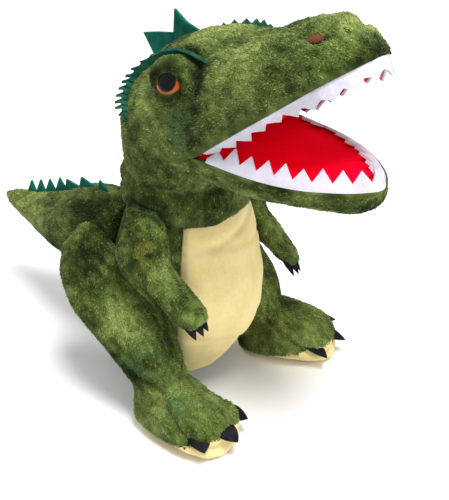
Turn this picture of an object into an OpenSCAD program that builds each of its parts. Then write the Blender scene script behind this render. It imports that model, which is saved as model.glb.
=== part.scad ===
// Moving mouth hand puppet: a stuffed plush dinosaur.
//
// Heights are given above the ground that the feet stand on, in millimetres.  The frame's
// origin is the centre of the hand opening's lower edge, +Z is up, the puppet faces -Y and
// its left side is +X.
//
// Every soft shape is a loft through stations.  A station is
//   [y, z, pitch, half_width, up, down, end]
// its centre, the tilt of its section about X (0 is a level section, 90 an upright one),
// the half width along X, the half heights on either side of the centre, and -1, 0 or 1
// where the form starts, runs on or ends, so that an inset form also pulls its ends in.

/* [Body] */
// Half width of the belly
belly_r = 40; // [36:0.5:42]
// Half width at which the hips are flat, where the legs lie against the body
hip_x = 36; // [34:0.5:37]
// Height of the top edge of the body plush
body_top = 126; // [124:0.5:128]
// Half angle of the belly panel, seen from above
belly_angle = 60; // [50:1:65]

/* [Hand opening] */
// Inner radius of the hem band, where the wrist passes
cuff_r = 28.5; // [26:0.5:28.5]
// Height of the hem band's wall
cuff_h = 10; // [8:0.5:12]

/* [Head] */
// How far the upper jaw is tilted up from level
gape = 38.5; // [36:0.5:42]
// Length of the upper jaw from the hinge to the nose
snout_len = 102; // [99:0.5:106]
// Length of the lower jaw from the hinge to the chin
jaw_len = 88; // [86:0.5:92]
// Half width of the mouth at its corners
mouth_r = 38.5; // [37:0.5:40]
// How far the head is turned to the puppet's right at rest
head_turn = 6; // [0:1:10]
// Radius of the plastic eyes
eye_r = 8; // [6:0.5:8]

/* [Teeth] */
// Height of the lower teeth, with their band
lower_tooth_h = 11; // [8:0.5:12]
// Height of the upper teeth, with their band
upper_tooth_h = 8; // [7:0.5:12]
// Number of lower teeth
lower_teeth_n = 19; // [15:1:25]
// Number of upper teeth
upper_teeth_n = 20; // [15:1:25]

/* [Limbs] */
// Distance of the legs from the middle
leg_x = 46; // [45:0.5:50]
// How far the left foot's toes turn out
left_foot_turn = 26; // [0:1:30]
// How far the right foot's toes turn out
right_foot_turn = 2; // [0:1:30]
// Distance of the arms from the middle
arm_x = 45; // [44:0.5:48]
// Height of the cream sole's edge
sole_h = 8; // [6:0.5:10]

/* [Cloth] */
// Thickness of the plush
plush = 2.4; // [1.8:0.1:2.6]
// Thickness of the lining
lining = 1; // [0.6:0.1:1.2]
// Thickness of the felt
felt = 1.4; // [1:0.1:1.8]
// Gap between layers
gap = 0.3; // [0.2:0.05:0.5]

/* [Hidden] */

SIDES = 24;             // sides of a body section
LIMB_SIDES = 20;        // sides of a limb section
board = 1.5;            // thickness of the mouth boards
in_cloth = plush + gap; // inset of whatever lies inside the plush
cuff_y = 12;            // the hand opening lies this far behind the body's axis
cuff_z = 17;            // height of the hand opening's lower edge
hinge_y = -42;          // the mouth's hinge line
hinge_z = 173;
neck_z = 137;           // the neck's pivot, on the body's axis
neck_r = 26.5;          // radius of the neck sleeve, a zone of a ball about the pivot
throat_lean = 14;       // the jaw's back edge may swing this far past upright
tail_y = 76;            // the tail's pivot
tail_z = 76;
tail_r = 26;            // radius of the tail's root, a ball about the pivot
ankle_y = -16;          // the feet turn about the ankles
toes_z = 13;            // height of the foot claws
full_height_at = 32;    // distance from the hinge past which the teeth have their full height
neck_half = 13;         // half height of the neck sleeve
left_arm_taper = 0.35;  // share by which the left hand is slimmer than the right one
left_arm_drop = 6;      // how much lower the left hand hangs
shank_r = 2;            // radius of the eye's shank
washer_r = 5;           // radius of the washer behind the eye
finger_r = 9;           // radius of the finger pocket's round edges
finger_spread = 17;     // half distance of those edges
finger_up = 13;         // height of the finger pocket's middle above the palate
finger_back = 14;       // how far the finger pocket starts behind the hinge
finger_reach = 68;      // how far it reaches towards the nose
thumb_r = 6.2;          // radius of the thumb pocket's round edges
thumb_spread = 7;       // half distance of those edges
thumb_down = 9.8;       // depth of the thumb pocket's middle below the mouth's floor
thumb_back = 3;         // how far in front of the hinge the thumb pocket starts
thumb_len = 38;         // length of the thumb pocket
eye_at = [32, -22, 205.3]; // middle of the left eye on the head's surface
eye_turn = -9;          // which way the eye faces, about Z and from straight up
eye_tip = 61;
nostril_at = [16, 87, 17]; // beside the middle, from the hinge, above the palate

// Body from the hem to the neck
TORSO = [
    [12, 16, 0, 33, 33, 33, 0.5],
    [11, 28, 0, 35, 36, 38, 0],
    [8, 44, 0, belly_r - 1, 41, 46, 0],
    [5, 60, 0, belly_r, 43, 48.5, 0],
    [3, 76, 0, belly_r, 43, 46.5, 0],
    [1, 94, 0, belly_r - 1.5, 42, 41, 0],
    [0, 110, 0, 37.5, 38, 37, 0],
    [0, body_top, 0, 35, 33, 34, -0.5]
];
// Upper jaw from the hinge to the nose, [distance, half width, height]
SNOUT = [
    [0, mouth_r, 58], [20, mouth_r - 0.5, 52], [38, 36.5, 41], [55, 34.5, 34], [70, 31, 32],
    [82, 27, 29], [91, 21, 23.5], [97, 14.5, 16], [snout_len, 6, 7]
];
// Lower jaw from the hinge to the chin, [distance, half width, depth]
JAW = [
    [1.5, mouth_r, 24], [25, 37, 22], [40, 35, 19.5], [52, 31.5, 18], [62, 27, 17],
    [71, 21.5, 16], [79, 15, 13.5], [84.5, 8.5, 10], [jaw_len, 3, 6]
];
// Back and crown of the head, from the neck to the hinge
CROWN = [
    [-1, 142, 0, 33.5, 30.5, 32, 0.5],
    [-4, 155, 10, 37.5, 32.5, 35, 0],
    [-8, 167, 24, 40.5, 38, 34, 0],
    [-24, 171, 38, 40.5, 51, 20, 0]
];
// Tail from its tip to its rounded root
TAIL = [
    [157, 71, 90, 1.5, 1.5, 1.5, -1],
    [152, 70.5, 90, 4, 4, 4.5, -1],
    [143, 70, 90, 7, 7.5, 8, 0],
    [131, 70, 90, 10.5, 11, 12, 0],
    [118, 71, 90, 14.5, 14, 17, 0],
    [104, 73, 90, 19, 18, 21, 0],
    [90, 75, 90, 23, 22, 24, 0],
    for (a = [0, 24, 48, 68]) [tail_y - tail_r * sin(a), tail_z, 90,
        tail_r * cos(a), tail_r * cos(a), tail_r * cos(a), a == 68 ? 1 : 0]
];
// Leg from the hip to the ankle
LEG = [
    [50, 92, 131, 12, 10, 8, -1],
    [44, 86, 131, 19, 18, 14, -1],
    [33, 76, 131, 21, 22, 16.5, 0],
    [17, 63, 133, 21, 23, 16.5, 0],
    [1, 50, 140, 20, 21, 18, 0],
    [-9, 39, 150, 18, 19, 17, 0],
    [-14, 30, 165, 16, 17, 16, 0],
    [-16, 20, 172, 16, 17, 15, 1]
];
// Foot from the heel to the toes, about the ankle's line
FOOT = [
    [12, 12, 90, 9, 8, 8, -1],
    [8, 12, 90, 16, 16, 14, -1],
    [0, 12, 90, 20, 20, 16, 0],
    [-12, 12, 90, 22, 21, 16, 0],
    [-26, 12, 90, 22.5, 18, 16, 0],
    [-38, 12, 90, 21, 13.5, 16, 0],
    [-45, 11, 90, 17, 9.5, 14, 1],
    [-49, 10, 90, 11, 6, 11, 1]
];
// Arm from the shoulder to the hand
ARM = [
    [0, 130, 180, 7, 7, 7, -1],
    [0, 124, 180, 11, 15, 11, 0],
    [-1, 112, 178, 12.5, 18.5, 13, 0],
    [-4, 101, 165, 12, 17, 13, 0],
    [-13, 93, 143, 11, 13, 11.5, 0],
    [-27, 86, 134, 10, 10, 10, 0],
    [-38, 79.5, 132, 9, 8.5, 8.5, 1],
    [-43, 76.5, 132, 6, 5, 5, 1]
];

// The brow's line, [station of the head, angle], from the forehead round behind the eye
BROW = [[5.5, 49], [5.15, 54], [4.75, 59], [4.1, 65], [3.5, 64], [3, 59], [2.7, 53],
    [2.5, 43], [2.45, 33], [2.3, 24]];
brow_teeth = 14;        // teeth along one brow
// The crests' lines along the back and the tail, [y, z]
BACK_LINE = [[35, 122], [44, 98], [47, 88]];
TAIL_LINE = [[138, 76.5], [112, 86.5], [86, 98], [68, 101.5], [57, 96]];

// ---- lofts ----

function shaped(v, square) = sign(v) * pow(abs(v), square);

// One side of a section.  A side of 0 is flat, and an inset form reaches out through it, so
// that a shell is open there.
function half_height(h, inset) = h == 0 ? (inset > 0 ? 1 : 0.2) : max(h - inset, 0.4);

// One closed section of a loft
function ring(st, inset, square, sides) =
    let (
        rx = max(st[3] - inset, 0.4),
        up = half_height(st[4], inset),
        down = half_height(st[5], inset),
        cy = st[0] + inset * st[6] * sin(st[2]),
        cz = st[1] - inset * st[6] * cos(st[2])
    )
    [for (i = [0:sides - 1])
        let (
            a = 360 * i / sides,
            h = (sin(a) > 0 ? up : down) * shaped(sin(a), square)
        )
        [rx * shaped(cos(a), square), cy + h * cos(st[2]), cz + h * sin(st[2])]];

module loft(stations, inset = 0, square = 1, sides = SIDES) {
    last = (len(stations) - 1) * sides;
    points = [for (st = stations) each ring(st, inset, square, sides)];
    walls = [for (k = [0:len(stations) - 2], i = [0:sides - 1])
        let (a = k * sides + i, b = k * sides + (i + 1) % sides)
        each [[a, a + sides, b], [b, a + sides, b + sides]]];
    ends = [[for (i = [0:sides - 1]) i], [for (i = [sides - 1:-1:0]) last + i]];
    polyhedron(points = points, faces = concat(walls, ends), convexity = 6);
}

// Moves everything from heights above the ground into the frame
module in_frame() translate([0, -cuff_y, -cuff_z]) children();
module on_head() in_frame() rotate(-head_turn) children();

// Places what is drawn with the hinge at the origin and the upper jaw level
module on_upper_jaw() translate([0, hinge_y, hinge_z]) rotate([-gape, 0, 0]) children();
module on_lower_jaw() translate([0, hinge_y, hinge_z]) children();

// ---- forms that the pieces are cut from ----

SNOUT_STATIONS = [for (p = SNOUT)
    [hinge_y - p[0] * cos(gape), hinge_z + p[0] * sin(gape), 90 - gape,
     p[1], p[2], 0, p[0] > 90 ? 1 : 0]];
JAW_STATIONS = [for (p = JAW)
    [hinge_y - p[0], hinge_z, 90, p[1], 0, p[2], p[0] > 74 ? 1 : 0]];

HEAD = concat(CROWN, SNOUT_STATIONS);

module torso_form(inset = 0) {
    difference() {
        loft(TORSO, inset);
        for (side = [-1, 1])
            translate([side * (hip_x - inset + 50), 30, 57]) cube([100, 120, 90], center = true);
    }
}

module head_form(inset = 0) loft(HEAD, inset, 0.85);

// The open mouth: all that lies between the upper jaw and the jaw's swing
module mouth_room() {
    far = 200;
    lean = 90 + throat_lean;
    translate([0, hinge_y, hinge_z]) rotate([90, 0, 90]) linear_extrude(120, center = true)
        polygon([
            [0, 0], [-far * cos(gape), far * sin(gape)], [-far, -far],
            [-far * cos(lean), -far * sin(lean)]
        ]);
}

module finger_room(inset = 0) {
    on_upper_jaw() hull() for (s = [-finger_back, finger_reach], x = [-1, 1] * finger_spread)
        translate([x, -s, finger_up]) sphere(r = finger_r - inset, $fn = 20);
}

// The thumb's room in the lower jaw, open at the back, where it may start earlier
module thumb_room(inset = 0, earlier = 0) {
    on_lower_jaw() hull() for (x = [-1, 1] * thumb_spread)
        translate([x, earlier - thumb_back, -thumb_down]) rotate([90, 0, 0])
            cylinder(r = thumb_r - inset, h = thumb_len - inset + earlier, $fn = 32);
}

module tail_form(inset = 0) loft(TAIL, inset);

module on_leg(side) translate([side * leg_x, 0, 0]) children();
module on_foot(side) {
    turn = side > 0 ? left_foot_turn : -right_foot_turn;
    on_leg(side) translate([0, ankle_y, 0]) rotate(turn) children();
}

module leg_form(side, inset = 0) {
    difference() {
        union() {
            on_leg(side) loft(LEG, inset, sides = LIMB_SIDES);
            on_foot(side) loft(FOOT, inset, 0.9, LIMB_SIDES);
        }
        translate([side * (hip_x + gap + inset - 50), 40, 65]) cube([100, 140, 104], center = true);
        translate([0, 0, -50 + (inset > 0 ? inset : 0)]) cube([300, 300, 100], center = true);
    }
}

// The left arm is slimmer towards its hand, and hangs lower
function arm_stations(side) = [for (k = [0:len(ARM) - 1])
    let (
        s = ARM[k],
        share = side < 0 ? 0 : k / (len(ARM) - 1),
        slim = 1 - left_arm_taper * share
    )
    [s[0], s[1] - left_arm_drop * share * share, s[2], s[3] * slim, s[4] * slim, s[5] * slim, s[6]]];

module arm_form(side, inset = 0) {
    difference() {
        translate([side * arm_x, 0, 0]) loft(arm_stations(side), inset, sides = LIMB_SIDES);
        translate([side * (belly_r + gap + inset - 50), 0, 100]) cube([100, 140, 100], center = true);
    }
}

// ---- outlines and teeth ----

// Half outline of a jaw from its corner to its tip, seen from above, pulled in by inset
function half_outline(profile, inset, from) =
    let (tip = profile[len(profile) - 4][0])
    concat([[lookup(from, profile_widths(profile)) - inset, -from]],
        [for (p = profile) if (p[0] > from)
            [max(p[1] - inset, 0.5), -p[0] + (p[0] > tip ? inset : 0)]]);
function profile_widths(profile) = [for (p = profile) [p[0], p[1]]];
function mirrored(points) = concat(points,
    [for (i = [len(points) - 1:-1:0]) [-points[i][0], points[i][1]]]);

module mouth_plate(profile, inset, from, thick) {
    linear_extrude(thick) polygon(mirrored(half_outline(profile, inset, from)));
}

function span(p, i) = norm(p[i + 1] - p[i]);
function total(p, i = 0) = i > len(p) - 2 ? 0 : span(p, i) + total(p, i + 1);
function along(p, d, i = 0) =
    i == len(p) - 2 || d <= span(p, i)
        ? p[i] + (p[i + 1] - p[i]) * d / span(p, i)
        : along(p, d - span(p, i), i + 1);

// A felt strip with triangular teeth, standing on the mouth's outline and lower towards the
// corners, where the jaws come together
module tooth_row(path, count, tall, band) {
    length = total(path);
    last = 2 * count;
    ribs = [for (k = [0:last]) let (
        d = k * length / last,
        way = along(path, min(d + 1, length)) - along(path, max(d - 1, 0)),
        outer = along(path, d),
        inner = outer + felt * [way[1], -way[0]] / norm(way),
        top = (k % 2 == 0 ? band : tall) * min(1, -outer[1] / full_height_at)
    ) each [[each outer, 0], [each inner, 0], [each inner, top], [each outer, top]]];
    walls = [for (k = [0:last - 1], i = [0:3])
        let (a = 4 * k + i, b = 4 * k + (i + 1) % 4)
        each [[a, b, a + 4], [b, b + 4, a + 4]]];
    polyhedron(ribs, concat(walls, [[0, 3, 2, 1], [for (i = [0:3]) 4 * last + i]]));
}

// A flat saw-toothed crest in the middle plane, along a path of [y, z] points.  Its teeth
// stand out by way, and its root reaches in by root.
module crest(path, count, way, root) {
    pitch = total(path) / count;
    teeth = [for (k = [0:count - 1])
        each [along(path, k * pitch), along(path, (k + 0.4) * pitch) + way]];
    far_side = [for (i = [len(path) - 1:-1:0]) path[i] - root * way / norm(way)];
    rotate([90, 0, 90]) linear_extrude(felt, center = true)
        polygon(concat(teeth, [path[len(path) - 1]], far_side));
}

module claw(length, width, thick) {
    hull() {
        cube([width, 1, thick], center = true);
        translate([0, -length, -length * 0.25]) cube([1.2, 0.6, 1.2], center = true);
    }
}

// ---- places on the head's surface ----

// A point on the head, at a place between two stations and an angle about the section
function mixed(list, u) = list[floor(u)] * (1 - u + floor(u)) + list[ceil(u)] * (u - floor(u));
function skin_point(u, angle, lift) =
    let (
        st = mixed(HEAD, u),
        h = (st[4] + lift) * shaped(sin(angle), 0.85)
    )
    [(st[3] + lift) * shaped(cos(angle), 0.85), st[0] + h * cos(st[2]), st[1] + h * sin(st[2])];

module brow(side) {
    steps = 2 * brow_teeth;
    ribs = [for (k = [0:steps]) let (
        m = mixed(BROW, k * (len(BROW) - 1.001) / steps),
        fade = min(1, k / 4, (steps - k) / 2 + 0.3),
        tall = (k % 2 == 0 ? 1.5 : 4) * fade + 0.8
    ) each [
        skin_point(m[0], m[1] - 1.3, -0.5), skin_point(m[0], m[1] + 1.3, -0.5),
        skin_point(m[0], m[1] + 1.3, tall), skin_point(m[0], m[1] - 1.3, tall)
    ]];
    walls = [for (k = [0:steps - 1], i = [0:3])
        let (a = 4 * k + i, b = 4 * k + (i + 1) % 4)
        each [[a, a + 4, b], [b, a + 4, b + 4]]];
    mirror([side > 0 ? 0 : 1, 0, 0])
        polyhedron(ribs, concat(walls, [[0, 1, 2, 3], [for (i = [3:-1:0]) 4 * steps + i]]));
}

// Places what is drawn with the eye's front along +Z and its back on the head's surface
module on_eye(side) translate([side * eye_at[0], eye_at[1], eye_at[2]])
    rotate([0, 0, side * eye_turn]) rotate([0, side * eye_tip, 0]) children();

// ---- head ----

module head_plush() {
    color("olivedrab") on_head() difference() {
        head_form();
        head_form(plush);
        mouth_room();
        for (side = [-1, 1]) on_eye(side) {
            cylinder(r = shank_r + gap, h = 30, center = true);
            cylinder(r = eye_r + gap, h = eye_r);
        }
    }
}

module head_stuffing() {
    color("whitesmoke") on_head() difference() {
        intersection() {
            head_form(in_cloth);
            on_upper_jaw() translate([0, -60, 50 + board + 3 * gap + lining])
                cube([110, 156, 100], center = true);
        }
        finger_room(-gap);
        for (side = [-1, 1]) on_eye(side) translate([0, 0, -12]) cylinder(r = washer_r + 1, h = 14);
    }
}

module finger_pocket() {
    color("seagreen") on_head() difference() {
        finger_room();
        finger_room(lining);
        on_upper_jaw() translate([0, 45, 10]) cube([100, 70, 60], center = true);
    }
}

module upper_mouth_board() {
    color("burlywood") on_head() on_upper_jaw() translate([0, 0, lining + 2 * gap])
        mouth_plate(SNOUT, in_cloth + 0.6, 26, board);
}

module upper_mouth_lining() {
    color("crimson") on_head() on_upper_jaw() translate([0, 0, gap])
        mouth_plate(SNOUT, in_cloth, 3, lining);
}

module upper_teeth() {
    path = mirrored(half_outline(SNOUT, 0.8, 12));
    color("ghostwhite") on_head() on_upper_jaw() mirror([0, 0, 1]) translate([0, 0, 0.05])
        tooth_row(path, upper_teeth_n, upper_tooth_h, 4);
}

module eye(side) {
    color("darkorange") on_head() on_eye(side) {
        rotate_extrude($fn = 48) intersection() {
            translate([0, -eye_r * 0.6]) circle(r = eye_r * 1.17);
            square([eye_r, eye_r]);
        }
        translate([0, 0, -8]) cylinder(r = shank_r, h = 8.2);
    }
}
module eye_left() eye(1);
module eye_right() eye(-1);

module eye_washers() {
    color("dimgray") on_head() for (side = [-1, 1]) on_eye(side) translate([0, 0, -7.4])
        difference() {
            cylinder(r = washer_r, h = 1.4);
            translate([0, 0, -1]) cylinder(r = shank_r + 0.05, h = 4);
        }
}

module nostril(side) {
    color("saddlebrown") on_head() difference() {
        hull() for (k = [-1, 1])
            on_upper_jaw() translate([side * (nostril_at[0] + k), -nostril_at[1] - 3 * k, nostril_at[2]])
                sphere(r = 2.6, $fn = 20);
        head_form();
    }
}
module nostril_left() nostril(1);
module nostril_right() nostril(-1);

module brow_left() color("darkgreen") on_head() difference() { brow(1); head_form(); }
module brow_right() color("darkgreen") on_head() difference() { brow(-1); head_form(); }

// A felt triangle in the middle plane, its corners as [y, z]
module spike(corners) {
    color("darkgreen") on_head() difference() {
        rotate([90, 0, 90]) linear_extrude(felt, center = true) polygon(corners);
        head_form();
    }
}
module spike_front() spike([[7, 224], [10, 205], [-8, 211]]);
module spike_rear() spike([[31, 206], [12, 211], [20, 196]]);

// ---- lower jaw ----

module jaw_form(inset = 0) loft(JAW_STATIONS, inset);

module jaw_plush() {
    color("olivedrab") on_head() difference() {
        jaw_form();
        jaw_form(plush);
        on_lower_jaw() translate([0, -1 + plush, -14]) rotate([90, 0, 0])
            linear_extrude(6, center = true) scale([1, 0.42]) circle(r = 32);
        on_lower_jaw() translate([0, -4, 5 - gap]) cube([2 * (mouth_r - plush), 12, 20], center = true);
    }
}

module jaw_stuffing() {
    color("whitesmoke") on_head() difference() {
        jaw_form(in_cloth);
        thumb_room(-gap, 2);
        on_lower_jaw() translate([0, -50, 50 - board - 3 * gap - lining])
            cube([110, 160, 100], center = true);
        on_lower_jaw() translate([0, 7, 0]) cube([110, 20, 100], center = true);
    }
}

module thumb_pocket() {
    color("seagreen") on_head() difference() {
        thumb_room();
        thumb_room(lining, 2);
    }
}

module lower_mouth_board() {
    color("burlywood") on_head() on_lower_jaw() translate([0, 0, -lining - 2 * gap - board])
        mouth_plate(JAW, in_cloth + 0.6, 26, board);
}

module lower_mouth_lining() {
    color("crimson") on_head() on_lower_jaw() translate([0, 0, -lining - gap])
        mouth_plate(JAW, in_cloth, 3, lining);
}

module lower_teeth() {
    path = mirrored(half_outline(JAW, 0.8, 8));
    color("ghostwhite") on_head() on_lower_jaw() translate([0, 0, 0.25])
        tooth_row(path, lower_teeth_n, lower_tooth_h, 4.5);
}

// ---- neck and body ----

module neck_sleeve() {
    color("seagreen") in_frame() translate([0, 0, neck_z]) rotate_extrude($fn = 64)
        intersection() {
            difference() {
                circle(r = neck_r, $fn = 96);
                circle(r = neck_r - lining, $fn = 96);
            }
            translate([0, -neck_half]) square([40, 2 * neck_half]);
        }
}

module belly_wedge(back = 0) {
    far = 90;
    translate([0, 10 + back, 0]) linear_extrude(200)
        polygon([
            [0, 0], [-far * sin(belly_angle), -far * cos(belly_angle)], [0, -far],
            [far * sin(belly_angle), -far * cos(belly_angle)]
        ]);
}

module torso_plush() {
    color("olivedrab") in_frame() difference() {
        torso_form();
        torso_form(plush);
        belly_wedge(gap);
    }
}

module belly_panel() {
    color("khaki") in_frame() intersection() {
        difference() {
            torso_form();
            torso_form(plush);
        }
        belly_wedge();
    }
}

module torso_lining() {
    bottom = cuff_z + cuff_h + gap;
    color("seagreen") in_frame() intersection() {
        difference() {
            torso_form(in_cloth);
            torso_form(in_cloth + lining);
        }
        translate([0, 0, (bottom + body_top - 4) / 2])
            cube([100, 120, body_top - 4 - bottom], center = true);
    }
}

module hem_band() {
    color("khaki") in_frame() translate([0, cuff_y, cuff_z]) difference() {
        cylinder(r = cuff_r + 1.6, h = cuff_h);
        translate([0, 0, -1]) cylinder(r = cuff_r, h = cuff_h + 2);
    }
}

module back_crest() {
    color("darkgreen") in_frame() difference() {
        crest(BACK_LINE, 5, [6, 1.5], 8);
        torso_form();
        translate([0, tail_y, tail_z]) sphere(r = tail_r + 2, $fn = 32);
    }
}

// ---- tail ----

module tail_plush() {
    color("olivedrab") in_frame() difference() {
        tail_form();
        tail_form(plush);
    }
}

module tail_stuffing() color("whitesmoke") in_frame() tail_form(in_cloth);

module tail_crest() {
    color("darkgreen") in_frame() difference() {
        crest(TAIL_LINE, 9, [0, 7.5], 9);
        tail_form();
    }
}

// ---- arms ----

module arm(side) {
    color("olivedrab") in_frame() difference() {
        arm_form(side);
        arm_form(side, plush);
    }
}
module arm_left() arm(1);
module arm_right() arm(-1);
module arm_stuffing_left() color("whitesmoke") in_frame() arm_form(1, in_cloth);
module arm_stuffing_right() color("whitesmoke") in_frame() arm_form(-1, in_cloth);

module hand_claws(side) {
    color("black") in_frame() difference() {
        for (k = [-1, 0, 1])
            translate([side * arm_x + 4.5 * k, -43, 76 - (side > 0 ? left_arm_drop : 0)])
                rotate([42, 0, 0]) claw(7, 4.2, felt);
        arm_form(side);
    }
}
module hand_claws_left() hand_claws(1);
module hand_claws_right() hand_claws(-1);

// ---- legs ----

module leg(side) {
    color("olivedrab") in_frame() difference() {
        leg_form(side);
        leg_form(side, plush);
        translate([0, 0, sole_h + gap - 50]) cube([300, 300, 100], center = true);
    }
}
module leg_left() leg(1);
module leg_right() leg(-1);
module leg_stuffing_left() color("whitesmoke") in_frame() leg_form(1, in_cloth);
module leg_stuffing_right() color("whitesmoke") in_frame() leg_form(-1, in_cloth);

module sole(side) {
    color("khaki") in_frame() difference() {
        leg_form(side);
        leg_form(side, plush);
        translate([0, 0, sole_h + 50]) cube([300, 300, 100], center = true);
    }
}
module sole_left() sole(1);
module sole_right() sole(-1);

module foot_claws(side) {
    color("black") in_frame() difference() {
        for (k = [-1, 0, 1]) on_foot(side)
            translate([15 * k, -45 + 7 * abs(k), toes_z]) rotate(30 * k) claw(16, 9, 2.4);
        leg_form(side);
    }
}
module foot_claws_left() foot_claws(1);
module foot_claws_right() foot_claws(-1);

head_plush();
head_stuffing();
finger_pocket();
upper_mouth_board();
upper_mouth_lining();
upper_teeth();
eye_left();
eye_right();
eye_washers();
nostril_left();
nostril_right();
brow_left();
brow_right();
spike_front();
spike_rear();
jaw_plush();
jaw_stuffing();
thumb_pocket();
lower_mouth_board();
lower_mouth_lining();
lower_teeth();
neck_sleeve();
torso_plush();
belly_panel();
torso_lining();
hem_band();
back_crest();
tail_plush();
tail_stuffing();
tail_crest();
arm_left();
arm_right();
arm_stuffing_left();
arm_stuffing_right();
hand_claws_left();
hand_claws_right();
leg_left();
leg_right();
leg_stuffing_left();
leg_stuffing_right();
sole_left();
sole_right();
foot_claws_left();
foot_claws_right();
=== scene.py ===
"""The looks of a stuffed plush dinosaur hand puppet with a moving mouth.

Shapes are worked out in millimetres, with heights above the ground, the neck's axis at x = y = 0
and the puppet facing -y.  to_frame() brings them into the CAD frame, in metres.  A station of a
loft is (y, z, pitch, half width, up, down): its centre, the tilt of its section in degrees, the
half width, and the half heights on both sides of the centre.
"""
import math

import bpy
import numpy as np
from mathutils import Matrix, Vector, noise


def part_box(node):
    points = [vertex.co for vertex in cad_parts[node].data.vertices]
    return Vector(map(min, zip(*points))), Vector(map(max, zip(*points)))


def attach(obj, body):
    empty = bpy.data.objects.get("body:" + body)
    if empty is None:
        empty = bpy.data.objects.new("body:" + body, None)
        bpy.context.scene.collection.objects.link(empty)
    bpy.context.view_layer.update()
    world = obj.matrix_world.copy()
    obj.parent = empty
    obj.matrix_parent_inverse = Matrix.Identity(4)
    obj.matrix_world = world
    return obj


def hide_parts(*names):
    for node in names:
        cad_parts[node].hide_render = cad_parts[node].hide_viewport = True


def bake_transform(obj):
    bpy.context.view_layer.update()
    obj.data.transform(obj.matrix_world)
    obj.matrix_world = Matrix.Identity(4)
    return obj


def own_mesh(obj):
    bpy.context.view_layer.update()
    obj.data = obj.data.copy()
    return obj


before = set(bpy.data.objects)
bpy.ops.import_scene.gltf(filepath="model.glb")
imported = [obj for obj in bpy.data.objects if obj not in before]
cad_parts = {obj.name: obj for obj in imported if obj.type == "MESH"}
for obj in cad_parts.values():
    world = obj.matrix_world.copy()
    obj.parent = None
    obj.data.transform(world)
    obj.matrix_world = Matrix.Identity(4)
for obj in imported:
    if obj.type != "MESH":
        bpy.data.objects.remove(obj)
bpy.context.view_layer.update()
RNG = np.random.default_rng(11)
MOST_TUFTS = 49000       # the most tufts on one piece; on one piece, so that its mesh is kept whole

# ---- driving dimensions, in millimetres and degrees ----

CUFF = np.array([0.0, 12.0, 17.0])      # the CAD frame's origin, in these coordinates
HEAD_TURN = math.radians(-6)
HINGE = np.array([0.0, -42.0, 173.0])
GAPE = math.radians(38.5)
NECK = np.array([0.0, 0.0, 137.0])
LEG_X = 46
ANKLE_Y = -16
FOOT_TURN = {"left": 26, "right": -2}
ARM_X = 45
LEG_IN = 36.6            # how near to the middle the legs come
FOOT_IN = 24.0           # how near to the middle the feet come
ARM_IN = 38.5            # how near to the middle the arms come
CLAW_SIZE = {"left": (14, 12), "right": (9.5, 13)}    # length and width of the foot claws
CLAW_FROM = {"left": -42, "right": -46.5}             # where they are rooted, from the ankle
SIDE = {"left": 1, "right": -1}

TORSO = [
    (12, 15, 0, 31, 31, 31), (12, 19, 0, 34, 34, 34), (11, 28, 0, 35.5, 36.5, 39),
    (8, 44, 0, 39, 41, 46), (5, 60, 0, 40, 43, 48.5), (3, 76, 0, 40, 43, 46.5),
    (1, 94, 0, 38.5, 42, 41), (0, 110, 0, 36.5, 37, 36), (0, 120, 0, 33.5, 32.5, 32.5),
    (0, 128, 0, 28.5, 28, 28),
]
SNOUT = [
    (0, 38.5, 58), (20, 38, 52), (38, 36.5, 41), (55, 34.5, 34), (70, 31, 32),
    (82, 27, 29), (91, 21, 23.5), (97, 14.5, 16), (102, 6, 7),
]
JAW = [
    (-8, 36, 22), (1.5, 38.5, 24), (25, 37, 22), (40, 35, 19.5), (52, 31.5, 18),
    (62, 27, 17), (71, 21.5, 16), (79, 15, 13.5), (84.5, 8.5, 10), (88, 3, 6),
]
CROWN = [
    (-1, 139, 0, 30, 27.5, 28.5), (-1, 143, 0, 35, 31.5, 33), (-4, 155, 10, 38, 33.5, 35.5),
    (-8, 167, 24, 40.5, 38.5, 34), (-24, 171, 38, 40.5, 51, 20),
]
TAIL = [
    (157, 71, 90, 1.5, 1.5, 1.5), (152, 70.5, 90, 4, 4, 4.5), (143, 70, 90, 7, 7.5, 8),
    (131, 70, 90, 10.5, 11, 12), (118, 71, 90, 14.5, 14, 17), (104, 73, 90, 19, 18, 21),
    (90, 75, 90, 23, 22, 24), (76, 76, 90, 26, 26, 26), (62, 76, 90, 25, 26, 25),
    (48, 76, 90, 22, 24, 22),
]
LEG = [
    (50, 92, 131, 12, 10, 8), (44, 86, 131, 19, 18, 14), (33, 76, 131, 21, 22, 16.5),
    (17, 63, 133, 21, 23, 16.5), (1, 50, 140, 20, 21, 18), (-9, 39, 150, 18, 19, 17),
    (-14, 30, 165, 16, 17, 16), (-16, 20, 172, 16, 17, 15),
]
FOOT = [
    (12, 12, 90, 9, 8, 8), (8, 12, 90, 16, 16, 13), (0, 12, 90, 20, 20, 13),
    (-12, 12, 90, 22, 21, 13), (-26, 12, 90, 22.5, 18, 13), (-38, 12, 90, 21, 13.5, 13),
    (-45, 11, 90, 17, 9.5, 12), (-49, 10, 90, 11, 6, 10),
]
ARM = [
    (0, 130, 180, 7, 8, 7), (0, 124, 180, 11, 15, 11), (-1, 112, 178, 12.5, 18.5, 13),
    (-4, 101, 165, 12, 17, 13), (-13, 93, 143, 11, 13, 11.5), (-27, 86, 134, 10, 10, 10),
    (-38, 79.5, 132, 9, 8.5, 8.5), (-43, 76.5, 132, 6, 5, 5),
]
# Creases across the belly: height, slope to the side, depth
BELLY_CREASES = [
    (112, 0.25, 1.3), (104, -0.2, 0.9), (48, 0.3, 1.1), (38, -0.35, 1.2), (28, 0.1, 1.2),
]
# The brow's line on the head, (station, angle), from the forehead round behind the eye
BROW = [
    (6.5, 48), (6.15, 52), (5.75, 56), (5.1, 61), (4.5, 61), (4, 57), (3.7, 52),
    (3.5, 43), (3.45, 33), (3.3, 24),
]
HEAD_SQUARE = 0.85
LONG_PITCH = 12          # a crest tooth longer than this leans

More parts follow.
